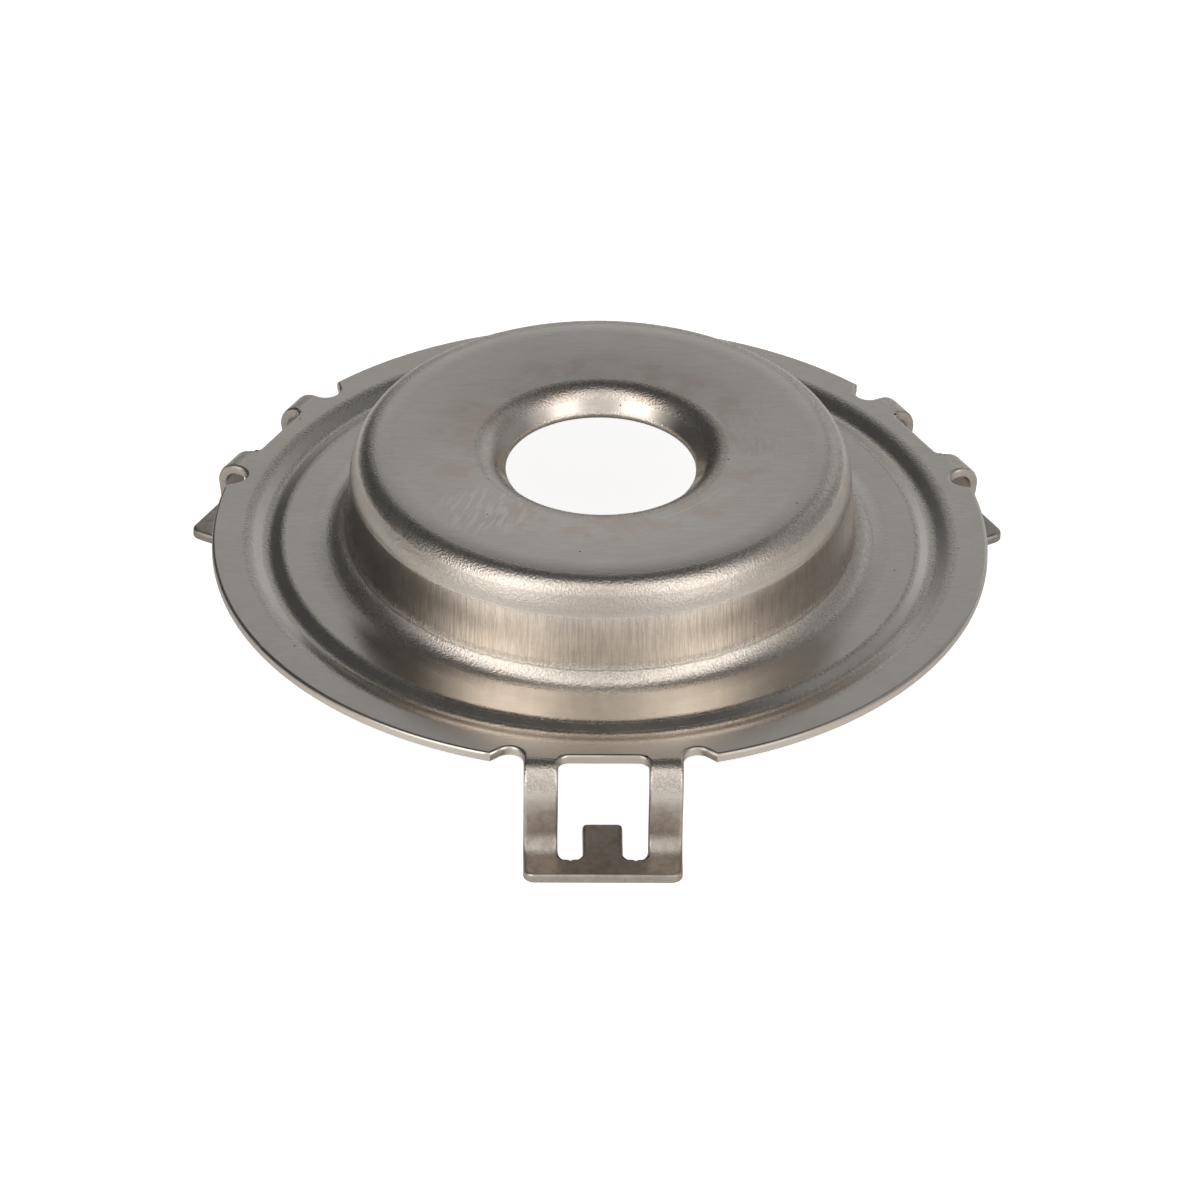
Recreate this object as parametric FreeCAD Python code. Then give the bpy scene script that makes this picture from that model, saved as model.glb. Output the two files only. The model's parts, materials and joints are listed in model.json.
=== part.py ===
"""Gas burner injector plate: a round cup with a collared bore, pressed from one sheet.

A flat flange with a pressed groove surrounds the cup. Three tabs cut from the rim
are folded down and end in outward feet, each with a free tongue in its window.
Millimetres. +Z is up and is the axis of the bore, the origin is on that axis in the
mouth of the bore, and one tab points along -Y.
"""
import FreeCAD
import Part
import math
import os

# Sheet
SHEET = 0.8

# Flange, from the rim inward
RIM_R = 33.0
RIM_ROLL = 0.12
RIM_FLAT = 3.1
GROOVE_RISE = 1.6
GROOVE_FALL = 1.3
GROOVE_DEPTH = 0.56
GROOVE_BENDS = (0.9, 1.0, 2.4)
RING_W = 5.75

# Cup
CUP_H = 9.25
BASE_BEND = 1.4
SHOULDER_BEND = 1.5
SHOULDER_EASE = 5.8
SHOULDER_LEAN = 8.0
SHOULDER_INSET = 1.95
SHOULDER_FALL = 2.4
SAG_DEG = 2.5
SAG_BEND = 10.0

# Bore with its collar turned down into the cup
BORE_R = 8.05
LIP_DEPTH = 2.6
LIP_LAND = 0.31
LIP_LEAN = 50.0
LIP_BENDS = (1.3, 3.5)

# Tabs
TAB_COUNT = 3
TAB_W = 13.1
TAB_FLAT = 0.25
LEG_BULGE = 1.15
LEG_LEAN = 8.0
LEG_BEND = 2.0
FOOT_BEND = 1.5
FOOT_DROP = 9.03
FOOT_REACH = 4.18
FOOT_CORNER = 0.95

# Relief notch on each side of a tab
NOTCH_R = 1.2
NOTCH_FLARE = 1.57

# Window, slots and tongue of each tab
WINDOW_W = 7.45
WINDOW_CORNER = 0.9
STRIP_W = 2.16
TONGUE_W = 3.3
TONGUE_L = 5.02
TONGUE_CORNER = 0.4

# Levels and radii that follow from the sizes above
TOP_Z = LIP_DEPTH
FLANGE_Z = TOP_Z - CUP_H
FOOT_Z = FLANGE_Z - FOOT_DROP + SHEET
CUP_R = RIM_R - RIM_FLAT - GROOVE_RISE - GROOVE_FALL - RING_W
FOLD_R = RIM_R + LEG_BULGE - LEG_BEND
TAB_ROOT_R = FOLD_R - TAB_FLAT
TOE_R = RIM_R + FOOT_REACH
TONGUE_ROOT_R = TOE_R - STRIP_W

AXIS = FreeCAD.Vector(0, 0, 1)
CENTRE = FreeCAD.Vector(0, 0, 0)


def meet(p, p_deg, q, q_deg):
    """Point where the line through p meets the line through q."""
    a = (math.cos(math.radians(p_deg)), math.sin(math.radians(p_deg)))
    b = (math.cos(math.radians(q_deg)), math.sin(math.radians(q_deg)))
    cross = a[0] * b[1] - a[1] * b[0]
    along = ((q[0] - p[0]) * b[1] - (q[1] - p[1]) * b[0]) / cross
    return (p[0] + along * a[0], p[1] + along * a[1])


def headings(points):
    """Direction of each straight run of the section."""
    return [math.atan2(b[1] - a[1], b[0] - a[0]) for a, b in zip(points, points[1:])]


def turns(points):
    """Angle through which the sheet is bent at each inner corner point."""
    heads = headings(points)
    return [(b - a + math.pi) % (2 * math.pi) - math.pi for a, b in zip(heads, heads[1:])]


def fitted_bends(points, bends):
    """Bend radii, cut down where two neighbouring bends would meet on a short run."""
    radii = [0.0] + list(bends) + [0.0]
    reach = [0.0] + [math.tan(abs(turn) / 2) for turn in turns(points)] + [0.0]
    for k in range(len(points) - 1):
        run = math.dist(points[k], points[k + 1])
        needed = radii[k] * reach[k] + radii[k + 1] * reach[k + 1]
        if needed > run:
            radii[k] *= run / needed
            radii[k + 1] *= run / needed
    return radii[1:-1]


def bent_face(points, bends, to_vector):
    """Edges of one face of the sheet: straight runs joined by tangent arcs."""
    edges = []
    start = points[0]
    heads = headings(points)
    for k, turn in enumerate(turns(points)):
        corner = points[k + 1]
        head, tail, radius = heads[k], heads[k + 1], bends[k]
        reach = radius * math.tan(abs(turn) / 2)
        inward = head + turn / 2 + math.copysign(math.pi / 2, turn)
        depth = radius / math.cos(turn / 2) - radius
        arc_in = (corner[0] - reach * math.cos(head), corner[1] - reach * math.sin(head))
        crown = (corner[0] + depth * math.cos(inward), corner[1] + depth * math.sin(inward))
        arc_out = (corner[0] + reach * math.cos(tail), corner[1] + reach * math.sin(tail))
        if math.dist(start, arc_in) > 1e-6:
            edges.append(Part.makeLine(to_vector(start), to_vector(arc_in)))
        edges.append(Part.Arc(to_vector(arc_in), to_vector(crown), to_vector(arc_out)).toShape())
        start = arc_out
    edges.append(Part.makeLine(to_vector(start), to_vector(points[-1])))
    return edges


def under_side(points, bends):
    """The same runs and bends one sheet thickness below the upper face."""
    heads = headings(points)
    bent = turns(points)
    mitres = [SHEET] + [SHEET / math.cos(turn / 2) for turn in bent] + [SHEET]
    normals = [heads[0]] + [head + turn / 2 for head, turn in zip(heads, bent)] + [heads[-1]]
    low = []
    for point, mitre, normal in zip(points, mitres, normals):
        low.append((point[0] + mitre * math.sin(normal), point[1] - mitre * math.cos(normal)))
    return low, [bend + math.copysign(SHEET, turn) for bend, turn in zip(bends, bent)]


def sheet_section(points, bends, to_vector):
    """Closed section of the sheet, from the corner points of its upper face."""
    bends = fitted_bends(points, bends)
    low, low_bends = under_side(points, bends)
    outline = bent_face(points, bends, to_vector) + bent_face(low, low_bends, to_vector)
    outline.append(Part.makeLine(to_vector(points[0]), to_vector(low[0])))
    outline.append(Part.makeLine(to_vector(points[-1]), to_vector(low[-1])))
    return Part.Face(Part.Wire(Part.sortEdges(outline)[0]))


def cup_corners():
    """Corner points and bend radii of the upper face, from the bore to the rim."""
    mouth = (BORE_R, 0)
    throat = (BORE_R, LIP_LAND + LIP_BENDS[0] * math.tan(math.radians(90 - LIP_LEAN) / 2))
    sag = ((BORE_R + CUP_R) / 2, TOP_Z)
    lip = meet(throat, LIP_LEAN, sag, SAG_DEG)
    ease_in = (CUP_R - SHOULDER_INSET, TOP_Z)
    ease_out = (CUP_R, TOP_Z - SHOULDER_FALL)
    shoulder = meet(ease_in, -SHOULDER_LEAN, ease_out, SHOULDER_LEAN - 90)
    base = (CUP_R, FLANGE_Z)
    groove_in = (CUP_R + RING_W, FLANGE_Z)
    groove_low = (groove_in[0] + GROOVE_FALL, FLANGE_Z - GROOVE_DEPTH)
    groove_out = (groove_low[0] + GROOVE_RISE, FLANGE_Z)
    rim = (RIM_R, FLANGE_Z)
    points = [mouth, throat, lip, sag, ease_in, shoulder, ease_out, base, groove_in, groove_low, groove_out, rim]
    bends = list(LIP_BENDS) + [SAG_BEND, SHOULDER_EASE, SHOULDER_BEND, SHOULDER_EASE, BASE_BEND]
    return points, bends + list(GROOVE_BENDS)


def pressed_cup():
    """Flange, groove, cup and collared bore as one turned section."""
    points, bends = cup_corners()
    section = sheet_section(points, bends, lambda p: FreeCAD.Vector(p[0], 0, p[1]))
    cup = section.revolve(CENTRE, AXIS, 360)
    return cup.makeFillet(RIM_ROLL, [edge for edge in cup.Edges if on_upper_rim(edge)])


def on_upper_rim(edge):
    """True for the circle around the top of the flange's sheared rim."""
    box = edge.BoundBox
    level = abs(box.ZMin - FLANGE_Z) < SHEET / 2 and abs(box.ZMax - FLANGE_Z) < SHEET / 2
    return level and box.YMax > RIM_R - SHEET / 2


def relief_notch(side):
    """Opening in the rim beside a tab: round root, then a slant out to the rim."""
    root = (TAB_W / 2 + NOTCH_R, TAB_ROOT_R)
    corner_x = root[0] + NOTCH_FLARE
    corner = (corner_x, math.sqrt(RIM_R ** 2 - corner_x ** 2))
    bearing = math.atan2(corner[1] - root[1], corner[0] - root[0])
    tangent = bearing - math.acos(NOTCH_R / math.dist(root, corner))
    halfway = (tangent - math.pi) / 2
    low, end = [(root[0] + NOTCH_R * math.cos(a), root[1] + NOTCH_R * math.sin(a)) for a in (halfway, tangent)]
    slant = math.atan2(corner[1] - end[1], corner[0] - end[0])
    outside = (corner[0] + LEG_BULGE * math.cos(slant), corner[1] + LEG_BULGE * math.sin(slant))
    inside = (TAB_W / 2, root[1])
    beyond = (TAB_W / 2, outside[1])

    def at(p):
        return FreeCAD.Vector(side * p[0], -p[1], FLANGE_Z - 2 * SHEET)

    outline = [Part.makeLine(at(beyond), at(inside)), Part.Arc(at(inside), at(low), at(end)).toShape()]
    outline += [Part.makeLine(at(end), at(outside)), Part.makeLine(at(outside), at(beyond))]
    return Part.Face(Part.Wire(outline)).extrude(4 * SHEET * AXIS)


def tab_clearance():
    """Part of the flange that the folded tab takes up, with both relief notches."""
    corner = FreeCAD.Vector(-TAB_W / 2, -TOE_R, FLANGE_Z - 2 * SHEET)
    middle = Part.makeBox(TAB_W, TOE_R - TAB_ROOT_R, 4 * SHEET, corner)
    return middle.fuse([relief_notch(1), relief_notch(-1)])


def folded_strip():
    """Tab folded down at the rim, leaning in a little, and out again into its foot."""
    root = (TAB_ROOT_R, FLANGE_Z)
    fold = (FOLD_R + LEG_BEND * math.tan(math.radians(90 + LEG_LEAN) / 2), FLANGE_Z)
    toe = (TOE_R, FOOT_Z)
    heel = meet(fold, -90 - LEG_LEAN, toe, 0)
    section = sheet_section([root, fold, heel, toe], [LEG_BEND, FOOT_BEND],
                            lambda p: FreeCAD.Vector(-TAB_W / 2, -p[0], p[1]))
    strip = section.extrude(FreeCAD.Vector(TAB_W, 0, 0))
    return strip.makeFillet(FOOT_CORNER, upright_edges(strip, -TOE_R))


def upright_edges(solid, y):
    """Edges of the solid that stand upright at the given y."""
    found = []
    for edge in solid.Edges:
        box = edge.BoundBox
        if abs(box.YMin - y) < 1e-4 and abs(box.YMax - y) < 1e-4 and box.XLength < 1e-4:
            found.append(edge)
    return found


def window_and_slots():
    """Window between the legs, running on into the two round-ended slots of the foot."""
    slot_r = (WINDOW_W - TONGUE_W) / 4
    slot_end = TONGUE_ROOT_R - slot_r
    corner = FreeCAD.Vector(-WINDOW_W / 2, -TOE_R, FOOT_Z)
    window = Part.makeBox(WINDOW_W, TOE_R - TAB_ROOT_R, FOOT_DROP, corner)
    window = window.makeFillet(WINDOW_CORNER, upright_edges(window, -TAB_ROOT_R))
    low = FreeCAD.Vector(0, 0, FOOT_Z - 2 * SHEET)
    depth = 3 * SHEET
    across = Part.makeBox(WINDOW_W, slot_end - TAB_ROOT_R, depth, low + FreeCAD.Vector(-WINDOW_W / 2, -slot_end, 0))
    gap = Part.makeBox(TONGUE_W, TONGUE_ROOT_R - TAB_ROOT_R, depth,
                       low + FreeCAD.Vector(-TONGUE_W / 2, -TONGUE_ROOT_R, 0))
    ends = []
    for side in (-1, 1):
        centre = low + FreeCAD.Vector(side * (WINDOW_W / 2 - slot_r), -slot_end, 0)
        ends.append(Part.makeCylinder(slot_r, depth, centre))
    return window.fuse([across, gap] + ends)


def tongue():
    """Free tongue in the plane of the foot, pointing in under the flange."""
    hold = STRIP_W / 2
    corner = FreeCAD.Vector(-TONGUE_W / 2, -TONGUE_ROOT_R - hold, FOOT_Z - SHEET)
    blade = Part.makeBox(TONGUE_W, TONGUE_L + hold, SHEET, corner)
    return blade.makeFillet(TONGUE_CORNER, upright_edges(blade, TONGUE_L - TONGUE_ROOT_R))


def injector_plate():
    """The pressed cup with its tabs cut, folded and pierced."""
    plate = pressed_cup()
    clearance = tab_clearance()
    tab = folded_strip().cut(window_and_slots()).fuse(tongue())
    for k in range(TAB_COUNT):
        turn = 360 / TAB_COUNT * k
        plate = plate.cut(clearance.rotated(CENTRE, AXIS, turn))
        plate = plate.fuse(tab.rotated(CENTRE, AXIS, turn))
    return plate.removeSplitter()


def main():
    """Build the plate and save it."""
    os.makedirs("parts", exist_ok=True)
    plate = injector_plate()
    plate.exportStep("parts/plate.step")
    print("solids", len(plate.Solids), "valid", plate.isValid(), "volume", round(plate.Volume, 2))


main()
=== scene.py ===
"""Gas burner injector plate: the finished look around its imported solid.

One pressed steel sheet is drawn, spun, cut, folded and given its thickness, then
finished in rolled, drawn and sheared steel. Sizes inside the modelling steps are
in millimetres; the finished piece is scaled to metres.
"""

import json
import math

import bmesh
import bpy
from bpy.props import FloatProperty, FloatVectorProperty, IntProperty, PointerProperty
from mathutils import Matrix, Vector


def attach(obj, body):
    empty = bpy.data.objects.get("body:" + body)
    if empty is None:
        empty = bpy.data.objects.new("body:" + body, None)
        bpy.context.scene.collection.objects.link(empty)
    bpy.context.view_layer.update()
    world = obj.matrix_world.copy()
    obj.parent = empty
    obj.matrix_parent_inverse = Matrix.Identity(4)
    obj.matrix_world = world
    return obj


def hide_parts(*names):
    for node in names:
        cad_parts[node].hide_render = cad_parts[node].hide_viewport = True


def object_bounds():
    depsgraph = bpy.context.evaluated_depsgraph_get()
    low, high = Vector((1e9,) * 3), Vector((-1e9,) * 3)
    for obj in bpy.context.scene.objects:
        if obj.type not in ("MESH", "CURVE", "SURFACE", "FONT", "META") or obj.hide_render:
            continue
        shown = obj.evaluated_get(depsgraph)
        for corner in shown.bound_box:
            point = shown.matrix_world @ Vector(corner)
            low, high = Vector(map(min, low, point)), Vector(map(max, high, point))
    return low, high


bl_info = {
    "name": "Gas burner injector plate",
    "version": (1, 0, 0),
    "blender": (4, 5, 0),
    "location": "View3D > Sidebar > Injector plate",
    "description": "Builds a pressed steel burner plate, its finish and its studio",
    "category": "Object",
}

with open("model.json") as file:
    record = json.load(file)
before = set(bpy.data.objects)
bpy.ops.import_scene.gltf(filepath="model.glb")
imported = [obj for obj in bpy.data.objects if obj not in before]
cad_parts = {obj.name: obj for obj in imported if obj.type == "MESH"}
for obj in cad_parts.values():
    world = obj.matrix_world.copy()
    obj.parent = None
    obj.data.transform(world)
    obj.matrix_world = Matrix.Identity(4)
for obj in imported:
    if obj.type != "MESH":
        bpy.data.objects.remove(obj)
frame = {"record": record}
CAD_BOX = [list(corner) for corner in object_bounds()]

MM = 0.001
BORE_R = next(m["dims"]["r_mm"] for m in frame["record"]["mounts"] if m["name"] == "bore")


def length(name, description, millimetres):
    """Length property whose default is given in millimetres."""
    return FloatProperty(name=name, description=description, default=millimetres * MM,
                         min=0.0, precision=5, unit="LENGTH")


def slope(name, description, degrees):
    """Angle property whose default is given in degrees."""
    return FloatProperty(name=name, description=description, default=math.radians(degrees),
                         subtype="ANGLE", unit="ROTATION")


class PlateSizes(bpy.types.PropertyGroup):
    """Sizes of the pressed sheet."""

    sheet: length("Sheet", "Thickness of the sheet", 0.8)
    rim_r: length("Rim radius", "Radius of the flange", 32.985)
    rim_flat: length("Rim flat", "Flat band between the groove and the rim", 3.085)
    groove_rise: length("Groove rise", "Width of the outer side of the groove", 1.6)
    groove_fall: length("Groove fall", "Width of the inner side of the groove", 1.3)
    groove_depth: length("Groove depth", "Depth of the pressed groove", 0.56)
    ring_w: length("Ring width", "Flat between the cup and the groove", 5.75)
    cup_h: length("Cup height", "Height of the cup above the flange", 9.25)
    wall_lean: slope("Wall lean", "Draft of the cup wall, which is wider at its foot", 3.5)
    base_bend: length("Base bend", "Radius between the cup wall and the flange", 1.95)
    base_ease: length("Base ease", "Radius of the soft run out of the base bend", 9.0)
    base_run: length("Base run", "Distance from the wall's foot to the soft run-out", 2.25)
    base_lean: slope("Base lean", "Slope of the run-out at the base", 8.0)
    shoulder_bend: length("Shoulder bend", "Radius between the top and the wall", 1.9)
    shoulder_ease: length("Shoulder ease", "Radius of the soft run into the shoulder", 17.0)
    shoulder_inset: length("Shoulder inset", "Distance of the run-in from the wall", 2.9)
    shoulder_lean: slope("Shoulder lean", "Slope of the run-in", 4.0)
    shoulder_fall: length("Shoulder fall", "Height of the run-out from the shoulder onto the wall", 2.35)
    fall_ease: length("Fall ease", "Radius of the run-out onto the wall", 4.5)
    fall_lean: slope("Fall lean", "Slope of the run-out, from the upright", 22.0)
    dish: slope("Dish", "Fall of the whole top towards the middle", 1.2)
    sag_bend: length("Sag bend", "Radius where the top begins to sag more", 150.0)
    sag: slope("Sag", "Fall of the top near the bore", 2.5)
    lip_depth: length("Lip depth", "Depth of the turned-down collar", 2.6)
    lip_land: length("Lip land", "Straight end of the collar", 0.31)
    lip_lean: slope("Lip lean", "Slope of the collar's middle", 50.0)
    tab_w: length("Tab width", "Width across both legs of a tab", 13.1)
    tab_flat: length("Tab flat", "Flat before the fold of a tab", 0.25)
    leg_bulge: length("Leg bulge", "How far a fold stands out past the rim", 1.15)
    leg_lean: slope("Leg lean", "Lean of the legs towards the cup", 8.0)
    leg_bend: length("Leg bend", "Radius of the fold at the rim", 2.0)
    foot_bend: length("Foot bend", "Radius between leg and foot", 1.5)
    foot_drop: length("Foot drop", "Height from the foot's underside to the flange's top", 9.028)
    foot_reach: length("Foot reach", "How far the foot stands out past the rim", 4.195)
    foot_corner: length("Foot corner", "Radius of the corners of the foot", 0.95)
    notch_r: length("Notch radius", "Radius of the relief beside a tab", 1.2)
    notch_flare: length("Notch flare", "Width of the slant from the relief to the rim", 1.57)
    window_w: length("Window width", "Width of the opening between the legs", 7.45)
    window_corner: length("Window corner", "Radius of the upper window corners", 0.9)
    tongue_w: length("Tongue width", "Width of the free tongue", 3.3)
    tongue_l: length("Tongue length", "Length of the free tongue", 5.02)
    tongue_corner: length("Tongue corner", "Radius of the tongue's corners", 0.4)
    shear_roll: length("Shear roll", "Rounding of the sheared edges on the upper side", 0.26)
    burr_roll: length("Burr roll", "Rounding of the sheared edges on the lower side", 0.05)
    steps: IntProperty(name="Steps", description="Divisions of the full turn", default=360, min=60)


def millimetres(sizes):
    """The sizes as plain numbers: lengths in millimetres, angles in radians."""
    plain = {}
    for key in PlateSizes.__annotations__:
        value = getattr(sizes, key)
        angle = sizes.bl_rna.properties[key].unit == "ROTATION"
        plain[key] = value if angle or key == "steps" else round(value / MM, 5)
    return plain


LIP_BENDS = (0.45, 2.4)
GROOVE_BENDS = (0.9, 1.0, 2.4)
SMALL_TURN = math.radians(20.0)
BEND_STEP = math.radians(7.0)
SUPPORT = 0.15
TIGHT_BEND = 2.0
EDGE_STRIP = 0.32


def meet(p, p_angle, q, q_angle):
    """Point where the line through p meets the line through q."""
    a = Vector((math.cos(p_angle), math.sin(p_angle)))
    b = Vector((math.cos(q_angle), math.sin(q_angle)))
    gap = Vector(q) - Vector(p)
    return Vector(p) + gap.cross(b) / a.cross(b) * a


def levels(s):
    """Heights and radii that follow from the sizes."""
    flange_z = s["lip_depth"] - s["cup_h"]
    cup_r = s["rim_r"] - s["rim_flat"] - s["groove_rise"] - s["groove_fall"] - s["ring_w"]
    fold_r = s["rim_r"] + s["leg_bulge"] - s["leg_bend"]
    toe_r = s["rim_r"] + s["foot_reach"]
    foot_z = flange_z - s["foot_drop"] + s["sheet"]
    return flange_z, cup_r, fold_r, toe_r, foot_z


def section_corners(s):
    """Corner points and bend radii of the upper face, from the bore to the flat band."""
    flange_z, cup_r, _, _, _ = levels(s)
    top = s["lip_depth"]
    quarter = math.pi / 2
    throat = Vector((BORE_R, s["lip_land"] + LIP_BENDS[0] * math.tan((quarter - s["lip_lean"]) / 2)))
    ease_in = Vector((cup_r - s["shoulder_inset"], top))
    sag_r = (BORE_R + cup_r) / 2
    sag = Vector((sag_r, top - (ease_in[0] - sag_r) * math.tan(s["dish"])))
    lip = meet(throat, s["lip_lean"], sag, s["sag"])
    wall = Vector((cup_r, 0))
    down_wall = s["wall_lean"] - quarter
    ease_out = meet(wall, down_wall, Vector((0, top - s["shoulder_fall"])), 0.0)
    shoulder = meet(ease_in, -s["shoulder_lean"], ease_out, s["fall_lean"] - quarter)
    foot = meet(wall, down_wall, Vector((cup_r, flange_z)), 0.0)
    base_out = foot + Vector((s["base_run"], 0))
    base = meet(wall, down_wall, base_out, -s["base_lean"])
    groove_in = Vector((cup_r + s["ring_w"], flange_z))
    groove_low = groove_in + Vector((s["groove_fall"], -s["groove_depth"]))
    groove_out = groove_low + Vector((s["groove_rise"], s["groove_depth"]))
    points = [Vector((BORE_R, 0)), throat, lip, sag, ease_in, shoulder, ease_out, base, base_out]
    points += [groove_in, groove_low, groove_out, Vector((band_start(s), flange_z))]
    bends = list(LIP_BENDS) + [s["sag_bend"], s["shoulder_ease"], s["shoulder_bend"]]
    bends += [s["fall_ease"], s["base_bend"], s["base_ease"]] + list(GROOVE_BENDS)
    return points, bends


def band_start(s):
    """Radius where the flat band begins, just past the last bend of the groove."""
    rise = math.atan2(s["groove_depth"], s["groove_rise"])
    return s["rim_r"] - s["rim_flat"] + GROOVE_BENDS[2] * math.tan(rise / 2) + SUPPORT


def deselect_all():
    """Leave edit mode and clear the selection."""
    if bpy.context.object and bpy.context.object.mode != "OBJECT":
        bpy.ops.object.mode_set(mode="OBJECT")
    bpy.ops.object.select_all(action="DESELECT")


def edit(piece):
    """Make the piece the only selected object and open it for editing."""
    deselect_all()
    piece.select_set(True)
    bpy.context.view_layer.objects.active = piece
    bpy.ops.object.mode_set(mode="EDIT")


def pick(piece, chosen):
    """Select the mesh elements that the test accepts; returns how many."""
    shape = bmesh.from_edit_mesh(piece.data)
    bpy.ops.mesh.select_all(action="DESELECT")
    found = chosen(shape)
    for element in found:
        element.select = True
    shape.select_flush_mode()
    bmesh.update_edit_mesh(piece.data)
    return len(found)


def start_line(name, point):
    """New piece open for editing, with one selected vertex at the point."""
    deselect_all()
    bpy.ops.mesh.primitive_plane_add(size=1.0, location=point)
    line = bpy.context.object
    line.name = name
    bpy.ops.object.transform_apply(location=True)
    edit(line)
    bpy.ops.mesh.select_mode(type="VERT")
    bpy.ops.mesh.select_all(action="SELECT")
    bpy.ops.mesh.merge(type="CENTER")
    return line


def run_by(step):
    """Extrude the selected end of a line by a straight step."""
    bpy.ops.mesh.extrude_region_move(TRANSFORM_OT_translate={"value": step})


def turn_about(centre, axis, angle, steps):
    """Extrude the selected end of a line along an arc."""
    bpy.ops.mesh.spin(steps=steps, angle=angle, center=centre, axis=axis)


def straight_run(start, end, to_space):
    """Straight run with a supporting vertex near each end."""
    span = (end - start).length
    stops = [end]
    if span > 4 * SUPPORT:
        along = (end - start) / span * SUPPORT
        stops = [start + along, end - along, end]
    for stop in stops:
        run_by(to_space(stop) - to_space(start))
        start = stop


def section_line(s):
    """Half section of the sheet's upper face, drawn from the bore outwards."""
    points, bends = section_corners(s)

    def to_space(p):
        return Vector((p[0], 0, p[1]))

    heads = [math.atan2(b[1] - a[1], b[0] - a[0]) for a, b in zip(points, points[1:])]
    turns = [(b - a + math.pi) % (2 * math.pi) - math.pi for a, b in zip(heads, heads[1:])]
    line = start_line("plate", to_space(points[0]))
    start = points[0]
    for corner, head, turn, bend in zip(points[1:], heads, turns, bends):
        reach = bend * math.tan(abs(turn) / 2)
        forward = Vector((math.cos(head), math.sin(head)))
        side = math.copysign(1, turn)
        arc_in = corner - reach * forward
        centre = arc_in + side * bend * Vector((-forward[1], forward[0]))
        if (arc_in - start).length > 1e-4:
            straight_run(start, arc_in, to_space)
        steps = max(4 if abs(turn) < SMALL_TURN else 3, round(abs(turn) / BEND_STEP))
        turn_about(to_space(centre), (0, 1, 0), turn, steps)
        start = corner + reach * Vector((math.cos(head + turn), math.sin(head + turn)))
    run_by(to_space(points[-1]) - to_space(start))
    return line


def mark_bends(line):
    """Give each vertex of an open line 1 in a tight bend, less in a wide one and 0 on the flat."""
    shape = bmesh.from_edit_mesh(line.data)
    layer = shape.verts.layers.float.new("bend")
    for vert in shape.verts:
        runs = [edge.other_vert(vert).co - vert.co for edge in vert.link_edges]
        if len(runs) == 2:
            turn = math.pi - runs[0].angle(runs[1])
            vert[layer] = min(1.0, TIGHT_BEND * turn / min(runs[0].length, runs[1].length))
    bmesh.update_edit_mesh(line.data)


def spun_cup(s):
    """Upper face of the cup, ring and groove, spun from its section."""
    cup = section_line(s)
    mark_bends(cup)
    bpy.ops.mesh.select_all(action="SELECT")
    bpy.ops.mesh.spin(steps=s["steps"], angle=2 * math.pi, center=(0, 0, 0), axis=(0, 0, 1))
    bpy.ops.mesh.select_all(action="SELECT")
    bpy.ops.mesh.remove_doubles(threshold=0.001)
    deselect_all()
    return cup


def strip_runs(s):
    """Lengths along the flat strip of a tab, measured outwards from its root line."""
    flange_z, _, fold_r, toe_r, foot_z = levels(s)
    angle = math.pi / 2 + s["leg_lean"]
    steps = round(angle / BEND_STEP)
    reach = math.tan(angle / 2)
    leg = (flange_z - foot_z) / math.cos(s["leg_lean"]) - (s["leg_bend"] + s["foot_bend"]) * reach
    chord = 2 * math.sin(angle / steps / 2)
    leg_start = s["tab_flat"] + steps * s["leg_bend"] * chord
    foot_bend_start = leg_start + leg
    foot_start = foot_bend_start + steps * s["foot_bend"] * chord
    heel_r = fold_r + s["leg_bend"] * reach
    foot_flat_r = heel_r - (flange_z - foot_z) * math.tan(s["leg_lean"]) + s["foot_bend"] * reach
    return {"angle": angle, "steps": steps, "leg_start": leg_start, "foot_bend_start": foot_bend_start,
            "foot_start": foot_start, "toe": foot_start + toe_r - foot_flat_r,
            "leg_chord": s["leg_bend"] * chord, "foot_chord": s["foot_bend"] * chord}


def outer_outline(s, runs):
    """Right half of one sector's outline: toe, leg side, relief notch and rim."""
    flange_z = levels(s)[0]
    root = s["rim_r"] + s["leg_bulge"] - s["leg_bend"] - s["tab_flat"]
    half = s["tab_w"] / 2
    toe = -(root + runs["toe"])
    corner = s["foot_corner"]
    line = start_line("sector", (0, toe, flange_z))
    run_by((half - corner, 0, 0))
    turn_about((half - corner, toe + corner, flange_z), (0, 0, 1), -math.pi / 2, 8)
    run_by((0, -toe - corner - root, 0))
    notch = (half + s["notch_r"], root)
    rim_x = notch[0] + s["notch_flare"]
    rim = (rim_x, math.sqrt(s["rim_r"] ** 2 - rim_x ** 2))
    bearing = math.atan2(rim[1] - notch[1], rim[0] - notch[0])
    tangent = bearing - math.acos(s["notch_r"] / math.dist(notch, rim))
    turn_about((notch[0], -notch[1], flange_z), (0, 0, 1), math.pi + tangent, 16)
    end = (notch[0] + s["notch_r"] * math.cos(tangent), notch[1] + s["notch_r"] * math.sin(tangent))
    run_by((rim[0] - end[0], end[1] - rim[1], 0))
    sweep = math.pi / 3 - math.asin(rim_x / s["rim_r"])
    turn_about((0, 0, flange_z), (0, 0, 1), -sweep, round(math.degrees(sweep)))
    return line


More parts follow.
